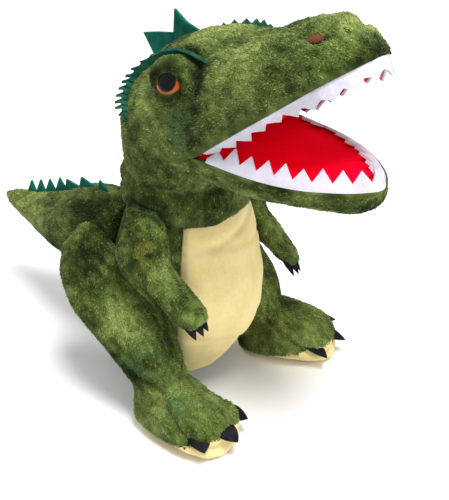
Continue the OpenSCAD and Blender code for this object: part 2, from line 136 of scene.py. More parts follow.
# Plush colours from the darkest to the lightest, then the ochre and teal of the dyed patches
PLUSH = [
    (0.012, 0.019, 0.004), (0.030, 0.046, 0.009), (0.062, 0.092, 0.019), (0.108, 0.152, 0.034),
    (0.165, 0.222, 0.055), (0.235, 0.300, 0.082), (0.330, 0.385, 0.110), (0.190, 0.165, 0.030),
    (0.065, 0.150, 0.062),
]
OCHRE = 7
TEAL = 8
MID_SHADE = 2.85         # where in PLUSH the plush lies on the whole
NOSE_PAINTED_SHADE = 2.8         # painted shade: how many shades darker the tip of the nose is painted, on its underside
# Wide areas: how many shades lighter, centre, radius. The back at the tail, the fold at the neck,
# where the darkening is painted shade, the feet, the tail and the crown
TONES_AND_PAINTED_SHADE = [
    (-2.2, (0, 60, 70), (60, 34, 34)), (-1.2, (0, 2, 122), (60, 40, 18)),
    (1.2, (0, -30, 20), (70, 34, 22)), (1.6, (0, 130, 80), (60, 42, 36)),
    (0.8, (0, -24, 228), (36, 26, 12)),
]
# Dyed patches: centre, radius, and which colour they show
PATCHES = [
    ((-32, -70, 206), 12, OCHRE), ((-48, -10, 112), 10, OCHRE), ((-20, -95, 158), 11, OCHRE),
    ((-37, -28, 186), 13, TEAL), ((-26, -95, 222), 9, TEAL), ((-60, -10, 48), 13, TEAL),
    ((-58, -36, 26), 11, TEAL), ((-20, 50, 150), 14, TEAL), ((34, -60, 210), 12, TEAL),
]


# ---- small helpers ----

def rotated(points, angle):
    """Points turned about the upright axis."""
    c, s = math.cos(angle), math.sin(angle)
    return points @ np.array([[c, s, 0], [-s, c, 0], [0, 0, 1]])


def to_frame(points, on_head=False):
    """Brings millimetre points into the CAD frame, in metres."""
    points = np.asarray(points, float)
    if on_head:
        points = rotated(points, HEAD_TURN)
    return (points - CUFF) / 1000


def spline(values, places):
    """Catmull-Rom curve through the rows of values, at places counted in rows."""
    values = np.asarray(values, float)
    last = len(values) - 1
    i = np.clip(np.floor(places).astype(int), 0, last - 1)
    t = (places - i)[:, None]
    p0, p1 = values[np.maximum(i - 1, 0)], values[i]
    p2, p3 = values[i + 1], values[np.minimum(i + 2, last)]
    return 0.5 * (2 * p1 + (p2 - p0) * t + (2 * p0 - 5 * p1 + 4 * p2 - p3) * t ** 2
                  + (3 * p1 - p0 - 3 * p2 + p3) * t ** 3)


def section(rows, angles, square=1.0):
    """Points of the sections given by rows of stations, at angles in radians."""
    def shaped(v):
        return np.sign(v) * np.abs(v) ** square
    y, z, pitch, rx, up, down = rows.T[:, :, None]
    s = np.sin(angles)[None, :]
    h = np.where(s > 0, up, down) * shaped(s)
    pitch = np.radians(pitch)
    x = rx * shaped(np.cos(angles))[None, :]
    return np.stack([x, y + h * np.cos(pitch), z + h * np.sin(pitch)], axis=-1)


def even_places(stations, count):
    """Places along the stations, evenly spaced by the distance between their centres."""
    fine = np.linspace(0, len(stations) - 1, 400)
    rows = spline(stations, fine)
    top = section(rows, np.array([math.pi / 2]))[:, 0]
    mid = rows[:, :2]
    step = np.linalg.norm(np.diff(mid, axis=0), axis=1)
    step += 0.5 * np.linalg.norm(np.diff(top, axis=0), axis=1)
    run = np.concatenate([[0], np.cumsum(step)])
    return np.interp(np.linspace(0, run[-1], count), run, fine)


def smooth_field(points, scale, shift=0.0):
    """Noise at each point, about -1 to 1, with features of the given size."""
    seed = Vector((shift, 2 * shift, 3 * shift))
    return np.array([noise.noise(Vector(p) / scale + seed) for p in points])


def mesh_object(name, points, faces, on_head=False, smooth=True):
    data = bpy.data.meshes.new(name)
    data.from_pydata([tuple(p) for p in to_frame(points, on_head)], [], [tuple(f) for f in faces])
    data.validate()
    data.update()
    if smooth:
        data.polygons.foreach_set("use_smooth", [True] * len(data.polygons))
    piece = bpy.data.objects.new(name, data)
    bpy.context.scene.collection.objects.link(piece)
    return piece


def grid_faces(rows, columns, closed):
    """Quads of a grid of points, row by row, the last column joined to the first if closed."""
    wide = columns if closed else columns - 1
    return [(r * columns + c, r * columns + (c + 1) % columns,
             (r + 1) * columns + (c + 1) % columns, (r + 1) * columns + c)
            for r in range(rows - 1) for c in range(wide)]


def tube_faces(rows, sides):
    """Faces of a closed tube, with one face over each end."""
    ends = [tuple(range(sides)), tuple((rows - 1) * sides + j for j in range(sides))]
    return grid_faces(rows, sides, closed=True) + ends


def lofted(name, stations, rows, sides, square=1.0, on_head=False, shift_x=0.0, turn=None):
    """A closed solid through the stations, with a fan over each end."""
    angles = np.linspace(0, 2 * math.pi, sides, endpoint=False)
    grid = section(spline(stations, even_places(stations, rows)), angles, square).reshape(-1, 3)
    faces = grid_faces(rows, sides, closed=True)
    middle = len(grid)
    ends = [grid[:sides].mean(0), grid[-sides:].mean(0)]
    faces += [(middle, (c + 1) % sides, c) for c in range(sides)]
    start = (rows - 1) * sides
    faces += [(middle + 1, start + c, start + (c + 1) % sides) for c in range(sides)]
    points = np.vstack([grid, ends])
    if turn is not None:
        points = rotated(points, turn) + (0, ANKLE_Y, 0)
    points[:, 0] += shift_x
    piece = mesh_object(name, points, faces, on_head)
    outward(piece)
    return piece


def outward(piece):
    """Turns every face of a closed mesh outwards."""
    bpy.context.view_layer.objects.active = piece
    piece.select_set(True)
    bpy.ops.object.mode_set(mode="EDIT")
    bpy.ops.mesh.select_all(action="SELECT")
    bpy.ops.mesh.normals_make_consistent(inside=False)
    bpy.ops.object.mode_set(mode="OBJECT")
    piece.select_set(False)


def apply(piece, kind, **settings):
    """Adds a modifier with these settings and applies it."""
    modifier = piece.modifiers.new(kind.lower(), kind)
    for key, value in settings.items():
        setattr(modifier, key, value)
    bpy.context.view_layer.objects.active = piece
    bpy.ops.object.modifier_apply(modifier=modifier.name)


def joined(pieces, name):
    bpy.ops.object.select_all(action="DESELECT")
    for piece in pieces:
        piece.select_set(True)
    bpy.context.view_layer.objects.active = pieces[0]
    bpy.ops.object.join()
    pieces[0].name = name
    pieces[0].select_set(False)
    return pieces[0]


def read(piece):
    """Points in millimetres above the ground, and normals."""
    count = len(piece.data.vertices)
    co, normal = np.empty(count * 3), np.empty(count * 3)
    piece.data.vertices.foreach_get("co", co)
    piece.data.vertices.foreach_get("normal", normal)
    return co.reshape(-1, 3) * 1000 + CUFF, normal.reshape(-1, 3)


def write(piece, points):
    piece.data.vertices.foreach_set("co", ((points - CUFF) / 1000).ravel())
    piece.data.update()


def unturned(points):
    """Points as they are with the head facing straight ahead."""
    return rotated(points, -HEAD_TURN)


def mirrored(points):
    """Points brought over to the left side, so that one formula serves both sides."""
    return np.column_stack([np.abs(points[:, 0]), points[:, 1], points[:, 2]])


def bump_at(points, centre, radius):
    """1 at centre, falling softly to 0 about two radii away."""
    return np.exp(-(((points - np.asarray(centre)) / radius) ** 2).sum(1))


# ---- materials ----

def material(name, color, roughness=0.9, sheen=0.0, coat=0.0):
    made = bpy.data.materials.new(name)
    made.use_nodes = True
    shader = made.node_tree.nodes["Principled BSDF"]
    shader.inputs["Base Color"].default_value = (*color, 1)
    shader.inputs["Roughness"].default_value = roughness
    shader.inputs["Sheen Weight"].default_value = sheen
    shader.inputs["Sheen Roughness"].default_value = 0.5
    shader.inputs["Coat Weight"].default_value = coat
    shader.inputs["Specular IOR Level"].default_value = 0.25 if coat else 0.04
    return made


def textured(name, color, dark, scale, roughness=0.9, sheen=0.0, bump=0.3, stretch=(1, 1, 1),
             painted=False):
    """Cloth: two noises vary the colour, and the finer one and a fibre noise raise the surface."""
    made = material(name, color, roughness, sheen)
    nodes, links = made.node_tree.nodes, made.node_tree.links
    shader = nodes["Principled BSDF"]
    place = nodes.new("ShaderNodeTexCoord")
    mapping = nodes.new("ShaderNodeMapping")
    mapping.inputs["Scale"].default_value = stretch
    links.new(place.outputs["Object"], mapping.inputs["Vector"])
    broad = nodes.new("ShaderNodeTexNoise")
    broad.inputs["Scale"].default_value = scale
    broad.inputs["Detail"].default_value = 5
    fibre = nodes.new("ShaderNodeTexNoise")
    fibre.inputs["Scale"].default_value = scale * 9
    fibre.inputs["Detail"].default_value = 3
    links.new(mapping.outputs["Vector"], broad.inputs["Vector"])
    links.new(mapping.outputs["Vector"], fibre.inputs["Vector"])
    ramp = nodes.new("ShaderNodeValToRGB")
    ramp.color_ramp.elements[0].position = 0.3
    ramp.color_ramp.elements[0].color = (*dark, 1)
    ramp.color_ramp.elements[1].position = 0.62
    ramp.color_ramp.elements[1].color = (*color, 1)
    both = nodes.new("ShaderNodeMath")
    both.operation = "MULTIPLY_ADD"
    both.inputs[1].default_value = 0.35
    links.new(fibre.outputs["Fac"], both.inputs[0])
    links.new(broad.outputs["Fac"], both.inputs[2])
    half = nodes.new("ShaderNodeMath")
    half.operation = "SUBTRACT"
    half.inputs[1].default_value = 0.17
    links.new(both.outputs[0], half.inputs[0])
    links.new(half.outputs[0], ramp.inputs["Fac"])
    source = ramp.outputs["Color"]
    if painted:
        mix = nodes.new("ShaderNodeMix")
        mix.data_type = "RGBA"
        mix.blend_type = "MULTIPLY"
        mix.inputs["Factor"].default_value = 1.0
        # the vertex colour holds the plush's dye and its painted shade
        paint = nodes.new("ShaderNodeVertexColor")
        paint.layer_name = "DyeAndPaintedShade"
        links.new(paint.outputs["Color"], mix.inputs["A"])
        links.new(source, mix.inputs["B"])
        source = mix.outputs["Result"]
    links.new(source, shader.inputs["Base Color"])
    raised = nodes.new("ShaderNodeBump")
    raised.inputs["Strength"].default_value = bump
    raised.inputs["Distance"].default_value = 0.0004
    links.new(fibre.outputs["Fac"], raised.inputs["Height"])
    links.new(raised.outputs["Normal"], shader.inputs["Normal"])
    return made


SKIN = textured("plush_ground", (1, 1, 1), (0.55, 0.6, 0.5), 180, sheen=0.04, bump=0.8, painted=True)
PILE = [material(f"pile_{k}", c, 0.85, 0.05) for k, c in enumerate(PLUSH)]
VELOUR = textured("velour", (0.78, 0.645, 0.315), (0.70, 0.555, 0.235), 60, sheen=0.12, bump=0.35)
FLEECE = textured("fleece", (0.92, 0.0, 0.030), (0.82, 0.0, 0.022), 45, bump=0.25)
WHITE_FELT = textured("white_felt", (0.56, 0.55, 0.62), (0.46, 0.45, 0.52), 120, bump=0.5)
GREEN_FELT = textured("green_felt", (0.012, 0.135, 0.088), (0.005, 0.07, 0.05), 130, bump=0.6)
BROW_FELT = textured("brow_felt", (0.02, 0.10, 0.062), (0.008, 0.045, 0.03), 130, bump=0.6)
BLACK_FELT = textured("black_felt", (0.016, 0.016, 0.02), (0.006, 0.006, 0.008), 130, bump=0.6)
BROWN_FELT = textured("brown_felt", (0.16, 0.055, 0.03), (0.08, 0.025, 0.014), 130, bump=0.5)
CLOTH = textured("lining_cloth", (0.16, 0.26, 0.16), (0.11, 0.19, 0.11), 260, bump=0.4, stretch=(1, 1, 3))
BOARD = textured("board", (0.72, 0.6, 0.42), (0.6, 0.48, 0.32), 90, roughness=0.6, bump=0.15)
WASHER = textured("washer", (0.1, 0.1, 0.1), (0.07, 0.07, 0.07), 200, roughness=0.5, bump=0.1)
IRIS_RINGS = [
    (0.02, 0.008, 0.003), (0.14, 0.030, 0.004), (0.36, 0.085, 0.006), (0.24, 0.052, 0.004),
    (0.02, 0.006, 0.002),
]
IRIS = [material(f"iris_{k}", c, 0.15, coat=0.1) for k, c in enumerate(IRIS_RINGS)]
PUPIL = material("pupil", (0.002, 0.002, 0.003), 0.08, coat=0.1)


# ---- the dyed plush: its ground and its pile ----

def shades(points):
    """The plush colour at each point, painted shade in the folds included: a place in PLUSH up to OCHRE,
    and the patch colour or -1.
    """
    wide = smooth_field(points, 26, 1.3)
    middle = smooth_field(points, 10, 5.1)
    fine = smooth_field(points * (1.0, 0.5, 0.5), 2.4, 9.7)
    level = MID_SHADE + 2.6 * wide + 1.5 * middle + 1.9 * fine
    # painted shade in the folds round the eyes and under the brows
    level -= painted_eye_shade(points)
    # painted shade under the tip of the nose
    level -= NOSE_PAINTED_SHADE * bump_at(unturned(points), NOSE, (16, 7, 8))
    # wide tone changes; the darker fold at the neck among them is painted shade
    for change, centre, radius in TONES_AND_PAINTED_SHADE:
        level += change * bump_at(points, centre, radius)
    patch = np.full(len(points), -1)
    for centre, radius, which in PATCHES:
        patch[(bump_at(points, centre, radius) + 0.5 * middle + 0.5 * fine) > 0.6] = which
    return np.clip(level, 0, OCHRE - 1), patch


def painted_eye_shade(points):
    """Painted shade: how much darker the plush is painted in the folds round the eyes and below the brows.
    """
    p = unturned(points)
    gap = np.linalg.norm(mirrored(p) - EYE_AT, axis=1)
    painted_brow_shade = np.exp(-((gap - 18.5) / 3.0) ** 2) * (p[:, 2] > EYE_AT[2])
    return 3.0 * np.exp(-((gap - 9) / 2.0) ** 2) + 2.4 * painted_brow_shade


def dye_with_painted_shade(piece):
    """Paints the ground of the plush a little darker than its pile, painted shade included."""
    points, _ = read(piece)
    level, patch = shades(points)
    palette = np.array(PLUSH)
    low = np.floor(level).astype(int)
    high = np.minimum(low + 1, OCHRE - 1)
    t = (level - low)[:, None]
    color = palette[low] * (1 - t) + palette[high] * t
    color[patch >= 0] = 0.6 * color[patch >= 0] + 0.4 * palette[patch[patch >= 0]]
    layer = piece.data.color_attributes.new("DyeAndPaintedShade", "FLOAT_COLOR", "POINT")
    layer.data.foreach_set("color", np.column_stack([0.8 * color, np.ones(len(color))]).ravel())
    piece.data.materials.clear()
    piece.data.materials.append(SKIN)


def pile(piece, name, keep=None, tufts_per_mm2=1.5, length=1.9, comb=(0, 0.75, -0.66)):
    """Short tufts all over a piece, leaning the way the pile is brushed."""
    points, normals = read(piece)
    piece.data.calc_loop_triangles()
    count = len(piece.data.loop_triangles)
    tri = np.empty(count * 3, int)
    piece.data.loop_triangles.foreach_get("vertices", tri)
    tri = tri.reshape(-1, 3)
    a, b, c = points[tri[:, 0]], points[tri[:, 1]], points[tri[:, 2]]
    area = 0.5 * np.linalg.norm(np.cross(b - a, c - a), axis=1)
    if keep is not None:
        area = area * keep(points)[tri].min(1)
    number = min(int(area.sum() * tufts_per_mm2), MOST_TUFTS)
    which = RNG.choice(count, number, p=area / area.sum())
    r1, r2 = np.sqrt(RNG.random(number)), RNG.random(number)
    mix = np.column_stack([1 - r1, r1 * (1 - r2), r1 * r2])[:, :, None]
    root = (points[tri[which]] * mix).sum(1)
    up = (normals[tri[which]] * mix).sum(1)
    up /= np.linalg.norm(up, axis=1)[:, None]
    way = np.array(comb) + 0.45 * RNG.normal(size=(number, 3))
    way += 0.5 * np.column_stack([smooth_field(root, 14, s) for s in (2.2, 4.4, 6.6)])
    way -= (way * up).sum(1)[:, None] * up
    way /= np.linalg.norm(way, axis=1)[:, None] + 1e-9
    lean = np.clip(0.40 + 0.14 * RNG.normal(size=number), 0.15, 0.8)[:, None]
    way = way * np.cos(lean) + up * np.sin(lean)
    across = np.cross(way, up)
    across /= np.linalg.norm(across, axis=1)[:, None] + 1e-9
    reach = length * RNG.uniform(0.6, 1.15, number)[:, None]
    wide = RNG.uniform(0.28, 0.55, number)[:, None]
    root = root - 0.3 * up
    corners = np.stack([root + across * wide, root - across * wide,
                        root + way * wide * 0.6 + up * wide * 0.9, root + way * reach], axis=1)
    # the tufts take the same colours, painted shade included
    level, patch = shades(root)
    shade = np.clip(np.rint(level + RNG.normal(scale=0.85, size=number)), 0, OCHRE - 1).astype(int)
    dyed = (patch >= 0) & (RNG.random(number) < 0.4)
    shade[dyed] = patch[dyed]
    first = (np.arange(number) * 4)[:, None]
    sides = [first + corner for corner in ([0, 2, 1], [0, 3, 2], [2, 3, 1], [1, 3, 0])]
    faces = np.stack(sides, axis=1)
    data = bpy.data.meshes.new(name)
    data.vertices.add(number * 4)
    data.vertices.foreach_set("co", ((corners.reshape(-1, 3) - CUFF) / 1000).ravel())
    data.loops.add(number * 12)
    data.loops.foreach_set("vertex_index", faces.ravel())
    data.polygons.add(number * 4)
    data.polygons.foreach_set("loop_start", np.arange(number * 4) * 3)
    data.polygons.foreach_set("material_index", np.repeat(shade, 4))
    for m in PILE:
        data.materials.append(m)
    data.update()
    tufts = bpy.data.objects.new(name, data)
    bpy.context.scene.collection.objects.link(tufts)
    return tufts


def ruffled(piece, amount=1.0, keep=None):
    """Soft dents and the clumps of the pile, along the surface's normals."""
    points, normals = read(piece)
    lift = 0.9 * smooth_field(points, 24, 3.7) + 0.55 * smooth_field(points, 8, 8.3)
    lift += 0.3 * smooth_field(points, 3.0, 6.1)
    if keep is not None:
        lift = lift * keep(points)
    write(piece, points + normals * (amount * lift)[:, None])


def moved_out(piece, lift_of):
    """Moves each point along its normal by lift_of(points), in millimetres."""
    points, normals = read(piece)
    write(piece, points + normals * lift_of(points)[:, None])


# ---- head ----

def on_upper_jaw(points):
    """Brings points drawn with the hinge at the origin and the upper jaw level onto the head."""
    points = np.asarray(points, float)
    c, s = math.cos(GAPE), math.sin(GAPE)
    y, z = points[:, 1], points[:, 2]
    return np.column_stack([points[:, 0], y * c + z * s, z * c - y * s]) + HINGE


def jaw_distance(points):
    """(distance from the hinge along the upper jaw, height above its palate)."""
    p = unturned(points) - HINGE
    forward = -p[:, 1] * math.cos(GAPE) + p[:, 2] * math.sin(GAPE)
    return forward, p[:, 2] * math.cos(GAPE) + p[:, 1] * math.sin(GAPE)


HEAD = CROWN + [
    (HINGE[1] - d * math.cos(GAPE), HINGE[2] + d * math.sin(GAPE), 90 - math.degrees(GAPE), w, h, 0.2)
    for d, w, h in SNOUT]


def head_point(place, angle, lift):
    """A point on the head's surface at a place along its stations."""
    row = spline(HEAD, np.array([place]))
    row[:, 3:5] += lift
    return section(row, np.radians([angle]), HEAD_SQUARE)[0, 0]


EYE_AT = np.array([32.0, -22.0, 205.3])
EYE_TURN = math.radians(-9)
EYE_TIP = math.radians(61)
EYE_R = 8.2
NOSTRIL = head_point(10.62, 49, 0)
NOSE = on_upper_jaw([(0, -101, 2)])[0]


def off_palate(points):
    """0 on the palate, where the fleece lies, and 1 on the plush outside."""
    forward, height = jaw_distance(points)
    return np.where((forward > -4) & (height < 1.6), 0.0, 1.0)


def head_form_details(points):
    """Cheeks, the snout's ridge and brow folds, eye sockets and nostrils."""
    p = unturned(points)
    lift = np.zeros(len(p))
    forward, height = jaw_distance(points)
    mirror_x = np.abs(p[:, 0])
    q = mirrored(p)
    eye_gap = np.linalg.norm(q - EYE_AT, axis=1)
    above = np.clip((q[:, 2] - EYE_AT[2] + 5) / 6, 0, 1)
    lift += 3.4 * np.exp(-((eye_gap - 12.5) / 2.6) ** 2) * above
    lift += 1.3 * np.exp(-((eye_gap - 12) / 2.4) ** 2) * (1 - above)
    lift -= 2.6 * np.exp(-((eye_gap - 18) / 2.6) ** 2) * above
    lift -= 2.6 * np.exp(-(eye_gap / 8.0) ** 2)
    lift += 1.1 * np.exp(-(p[:, 0] / 3.5) ** 2) * ((forward > 28) & (forward < 84)) * (height > 10)
    forehead = np.exp(-((forward - 33 + 0.25 * mirror_x) / 2.4) ** 2)
    lift -= 1.4 * forehead * (height > 16) * (mirror_x > 8)
    lift -= 2.2 * bump_at(q, NOSTRIL, 3.4)
    lift += 1.8 * bump_at(q, NOSTRIL + (-3, 5, 3.5), 4.5)
    nose_fold = np.exp(-((height - 19 + 0.35 * (forward - 90)) / 1.8) ** 2)
    lift -= 2.2 * nose_fold * (forward > 86) * (mirror_x > 4)
    lift += 2.0 * bump_at(q, on_upper_jaw([(0, -92, 22)])[0], 9)
    lift -= 1.6 * np.exp(-((forward - 70 - 0.2 * height) / 7) ** 2) * (mirror_x > 12) * (height > 9)
    return lift


def head_skin():
    piece = lofted("head_skin", HEAD, 130, 150, HEAD_SQUARE, on_head=True)
    moved_out(piece, lambda p: head_form_details(p) * off_palate(p))
    ruffled(piece, keep=off_palate)
    dye_with_painted_shade(piece)
    tufts = pile(piece, "head_pile", keep=clear_of_eyes, comb=(0, 0.7, -0.5))
    for made in (piece, tufts):
        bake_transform(made)
    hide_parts("head_plush", "head_stuffing")


def clear_of_eyes(points):
    """0 on the palate, the eyes and the nostrils, where no pile grows."""
    q = mirrored(unturned(points))
    far = np.linalg.norm(q - EYE_AT, axis=1) > EYE_R + 0.8
    far &= np.linalg.norm(q - NOSTRIL, axis=1) > 3
    return off_palate(points) * far


def jaw_skin():
    stations = [(HINGE[1] - d, HINGE[2], 90, w, 0.2, h) for d, w, h in JAW]
    piece = lofted("jaw_skin", stations, 84, 120, on_head=True)
    ruffled(piece, keep=jaw_outside)
    dye_with_painted_shade(piece)
    tufts = pile(piece, "jaw_pile", keep=jaw_outside, comb=(0, 0.9, -0.2))
    for made in (piece, tufts):
        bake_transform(made)
    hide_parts("jaw_plush", "jaw_stuffing")


def jaw_outside(points):
    """0 on the floor of the mouth and 1 on the plush below."""
    return np.where(unturned(points)[:, 2] > HINGE[2] - 1.4, 0.0, 1.0)


def mouth_outline(profile, inset, first):
    """The mouth's edge from one corner round the tip to the other, as smooth x, y points."""
    side = [(d, w - inset) for d, w, *_ in profile if d >= first]
    side = [(d if d < profile[-4][0] else d - inset, max(w, 0.5)) for d, w in side]
    half = [(w, -d) for d, w in side]
    whole = half + [(-x, y) for x, y in reversed(half)]
    return spline(whole, np.linspace(0, len(whole) - 1, 240))


def evenly(path, count):
    """Points at equal distances along a path."""
    run = np.concatenate([[0], np.cumsum(np.linalg.norm(np.diff(path, axis=0), axis=1))])
    at = np.linspace(0, run[-1], count)
    return np.column_stack([np.interp(at, run, path[:, k]) for k in range(path.shape[1])])


def mouth_cloth():
    """One sheet of fleece: the palate, the fold at the hinge and the floor of the mouth."""
    columns, rows, wide = 41, 44, 72
    across = np.linspace(-1, 1, columns)

    def plate(profile, lift):
        made = []
        widths = [(d, w) for d, w, *_ in profile if d >= 0]
        reach = widths[-1][0] - 4
        for d in np.linspace(0, 1, rows) ** 0.9 * reach:
            half = np.interp(d, *zip(*widths)) - 2.6
            sag = 1.4 * np.sin(math.pi * min(d / reach, 1))
            z = lift + sag * np.sign(lift) * (across ** 2 - 1) * -1
            made.append(np.column_stack([half * across, np.full(columns, -d - 0.5), z]))
        return made
    upper = [on_upper_jaw(r) for r in plate(SNOUT, -0.5)]
    lower = [np.asarray(r) + HINGE for r in plate([(0, 38.5)] + JAW[2:], 0.5)]
    rows_all = upper[::-1] + [upper[0] * (1, 0, 0) + HINGE + (0, 2.0, 0)] + lower
    grid = np.vstack(rows_all)
    piece = mesh_object("mouth_fleece", grid, grid_faces(len(rows_all), columns, False), on_head=True)
    piece.data.materials.append(FLEECE)
    apply(piece, "SOLIDIFY", thickness=0.0009, offset=0)
    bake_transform(piece)
    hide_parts("upper_mouth_lining", "lower_mouth_lining")


def tooth_strip(name, path, count, tall, band, lean_at, place, upper, front_band=0.0):
    """A felt strip cut into triangular teeth, leaning in over the mouth by lean_at(x, y).

    The strip's uncut band is higher by front_band round the nose.
    """
    ring = evenly(path, 4 * count + 1)
    way = np.gradient(ring, axis=0)
    way /= np.linalg.norm(way, axis=1)[:, None]
    inward = np.column_stack([way[:, 1], -way[:, 0]])
    levels = (0, 0.5 * band, band, None)
    points = []
    for k, (at, to) in enumerate(zip(ring, inward)):
        tooth = k // 4
        rise = min(1.0, 0.25 - at[1] / 30)
        front = front_band * min(max((-at[1] - 62) / 20, 0), 1)
        high = tall * (1 + 0.06 * math.sin(2.3 * tooth))
        tip = (band + 0.05, (high + band) / 2, high, (high + band) / 2)[k % 4] + 0.4 * front
        tip = max(tip, band + front)
        bend = lean_at(*at) + 0.06 * math.sin(1.7 * tooth + 1)
        for level in levels:
            h = rise * (tip if level is None else min(level * (1 + front / band), tip - 0.02))
            inner = at + to * (h * math.sin(bend) + 0.1)
            points.append((inner[0], inner[1], h * math.cos(bend) * (-1 if upper else 1)))
    grid = place(np.array(points))
    faces = grid_faces(len(ring), len(levels), closed=False)
    piece = mesh_object(name, grid, faces, on_head=True, smooth=False)
    stiffened(piece, 1.3, 0.3, WHITE_FELT)
    return piece


def teeth():
    upper = tooth_strip("upper_tooth_felt", mouth_outline(SNOUT, 1.0, 0)[7:-7], 20, 8.4, 3.8,
                        lambda x, y: 0.9 - 0.75 * min(max((-y - 62) / 25, 0), 1), on_upper_jaw, True, 1.6)
    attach(upper, "head")
    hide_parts("upper_teeth")
    lower = tooth_strip("lower_tooth_felt", mouth_outline(JAW, 1.0, 1)[5:-5], 19, 11, 4.4,
                        lambda x, y: 0.55 + 0.5 * min(max(x / 20, 0), 1), lambda p: p + HINGE, False)
    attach(lower, "jaw")
    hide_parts("lower_teeth")
    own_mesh(upper)
    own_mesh(lower)


def eye_frame(side):
    """The middle of the eye and its axes: across, up and out."""
    k = SIDE[side]
    level = math.sin(EYE_TIP)
    out = np.array([k * level * math.cos(EYE_TURN), level * math.sin(EYE_TURN), math.cos(EYE_TIP)])
    out /= np.linalg.norm(out)
    up = np.array([0, 0.25, 1.0])
    up -= up.dot(out) * out
    up /= np.linalg.norm(up)
    return EYE_AT * (k, 1, 1), np.cross(up, out), up, out


def eyes():
    for side in SIDE:
        centre, across, up, out = eye_frame(side)
        rings = [0.0, 0.40, 0.64, 0.69, 0.78, 0.88, 0.94, 1.0]
        shade = [PUPIL, PUPIL, IRIS[1], IRIS[2], IRIS[2], IRIS[3], IRIS[4]]
        turns = 48
        points, faces, slots = [centre + out * 5.2], [], []
        for n, r in enumerate(rings[1:]):
            for k in range(turns):
                a = 2 * math.pi * k / turns
                height = 5.2 * math.sqrt(max(1 - r * r, 0))
                level = math.cos(a) * across + math.sin(a) * up
                points.append(centre + EYE_R * r * level + out * height)
        for k in range(turns):
            faces.append((0, 1 + k, 1 + (k + 1) % turns))
            slots.append(0)
        for n in range(len(rings) - 2):
            base = 1 + n * turns
            for k in range(turns):
                k2 = (k + 1) % turns
                faces.append((base + k, base + turns + k, base + turns + k2, base + k2))
                slots.append(n + 1)
        base = 1 + (len(rings) - 2) * turns
        points.append(centre - out * 3)
        for k in range(turns):
            faces.append((base + (k + 1) % turns, base + k, len(points) - 1))
            slots.append(6)
        eye = mesh_object(f"eye_{side}_ball", points, faces, on_head=True)
        for m in shade:
            eye.data.materials.append(m)
        eye.data.polygons.foreach_set("material_index", slots)
        outward(eye)
        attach(eye, "head")
        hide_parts(f"eye_{side}")
        lid(side, centre, across, up, out)


def lid(side, centre, across, up, out):
    """The folded plush over the top of the eye and the smaller fold below it."""
    for part, span, start, thick, rise in (("upper", 205, -14, 3.9, 2.9), ("lower", 130, 205, 2.3, 1.5)):
        ring, sides = 40, 12
        points = []
        for k in range(ring):
            t = k / (ring - 1)
            a = math.radians(start + span * t)
            fade = math.sin(math.pi * min(max(t, 0.02), 0.98)) ** 0.5
            mid = centre + (EYE_R * 1.02) * (math.cos(a) * across + math.sin(a) * up) + out * rise
            radial = math.cos(a) * across + math.sin(a) * up
            for j in range(sides):
                b = 2 * math.pi * j / sides
                points.append(mid + fade * thick * (1.25 * math.cos(b) * radial + math.sin(b) * out))
        fold = mesh_object(f"lid_{part}_{side}", points, tube_faces(ring, sides), on_head=True)
        outward(fold)
        dye_with_painted_shade(fold)
        tufts = pile(fold, f"lid_{part}_pile_{side}", tufts_per_mm2=0.8, length=1.3)
        for piece in (fold, tufts):
            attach(piece, "head")


def brows():
    """Felt strips with saw teeth, standing over the eyes and round behind them."""
    teeth_n = 18
    for side, smooth_part, stands in (("left", 0.0, 1.8), ("right", 0.32, 1.0)):
        steps = 4 * teeth_n
        places = np.linspace(0, len(BROW) - 1, steps + 1)
        line = spline(BROW, places)
        points = []
        for k, (place, angle) in enumerate(line):
            phase = k % 4
            share = k / steps
            fade = min(1.0, share * 5 + 0.25, (1 - share) * 6 + 0.2)
            cut = min(1.0, max(share - smooth_part, 0) * 6)
            saw = 2.6 * cut * (phase == 2) + 1.2 * cut * (phase == 3)
            high = 3.0 + stands * (saw + (1 - share) * (stands - 1))
            for lift, back in ((-1.2, 0.0), (0.5 * high * fade, 0.5), (high * fade, 1.0)):
                p = head_point(place, angle, lift)
                points.append(p + np.array([0, 1.4, -2.6]) * back * cut * (phase == 2))
        grid = np.array(points) * (SIDE[side], 1, 1)
        faces = grid_faces(steps + 1, 3, closed=False)
        piece = mesh_object(f"brow_{side}_felt", grid, faces, on_head=True, smooth=False)
        stiffened(piece, 1.6, 0.3, BROW_FELT)
        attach(piece, "head")
        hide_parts(f"brow_{side}")


def nostrils():
    for side, k in SIDE.items():
        at = NOSTRIL * (k, 1, 1)
        points = []
        ring, rows = 20, 8
        out = np.array([0.62 * k, -0.35, 0.70])
        out /= np.linalg.norm(out)
        long = np.array([0.25 * k, 0.85, -0.5])
        long -= long.dot(out) * out
        long /= np.linalg.norm(long)
        wide = np.cross(out, long)
        for r in range(rows):
            share = math.cos(math.pi / 2 * r / rows)
            height = 1.7 * math.sin(math.pi / 2 * r / rows)
            for j in range(ring):
                a = 2 * math.pi * j / ring
                level = 4.4 * math.cos(a) * long + 2.2 * math.sin(a) * wide
                points.append(at + share * level + out * (height - 2.0))
        piece = mesh_object(f"nostril_{side}_felt", points, tube_faces(rows, ring), on_head=True)
        outward(piece)
        piece.data.materials.append(BROWN_FELT)
        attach(piece, "head")
        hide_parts(f"nostril_{side}")


def stiffened(piece, thick, bevel, felt):
    """Gives an open felt shape its thickness and soft edges, in millimetres."""
    apply(piece, "SOLIDIFY", thickness=thick / 1000, offset=0)
    apply(piece, "BEVEL", width=bevel / 1000, segments=2, limit_method="ANGLE")
    piece.data.materials.append(felt)


